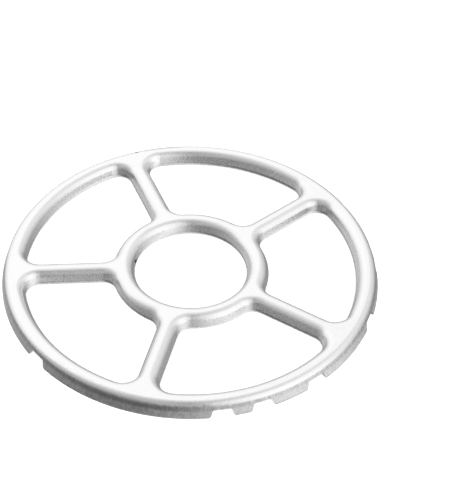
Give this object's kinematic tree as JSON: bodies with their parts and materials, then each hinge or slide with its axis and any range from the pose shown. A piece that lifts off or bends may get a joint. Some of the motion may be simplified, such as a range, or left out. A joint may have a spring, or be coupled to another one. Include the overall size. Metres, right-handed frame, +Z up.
{
  "type": "stove reducer ring",
  "caption": "Round pressed-steel ring with spokes and a round hub, notched round its skirt to sit on a gas hob's pan support under a small pot.",
  "frame": {"origin": "centre of the ring, in the plane of its skirt's lower edge", "axes": "+Z up, from the open underside to the show side; -X along the spoke that lies in the mirror plane of the windows"},
  "size_m": [0.1399, 0.14, 0.006],
  "materials": {
    "satin_steel": "satin, with fine draw marks"
  },
  "bodies": {
    "root": {"reducer_ring": "satin_steel"}
  },
  "joints": []
}
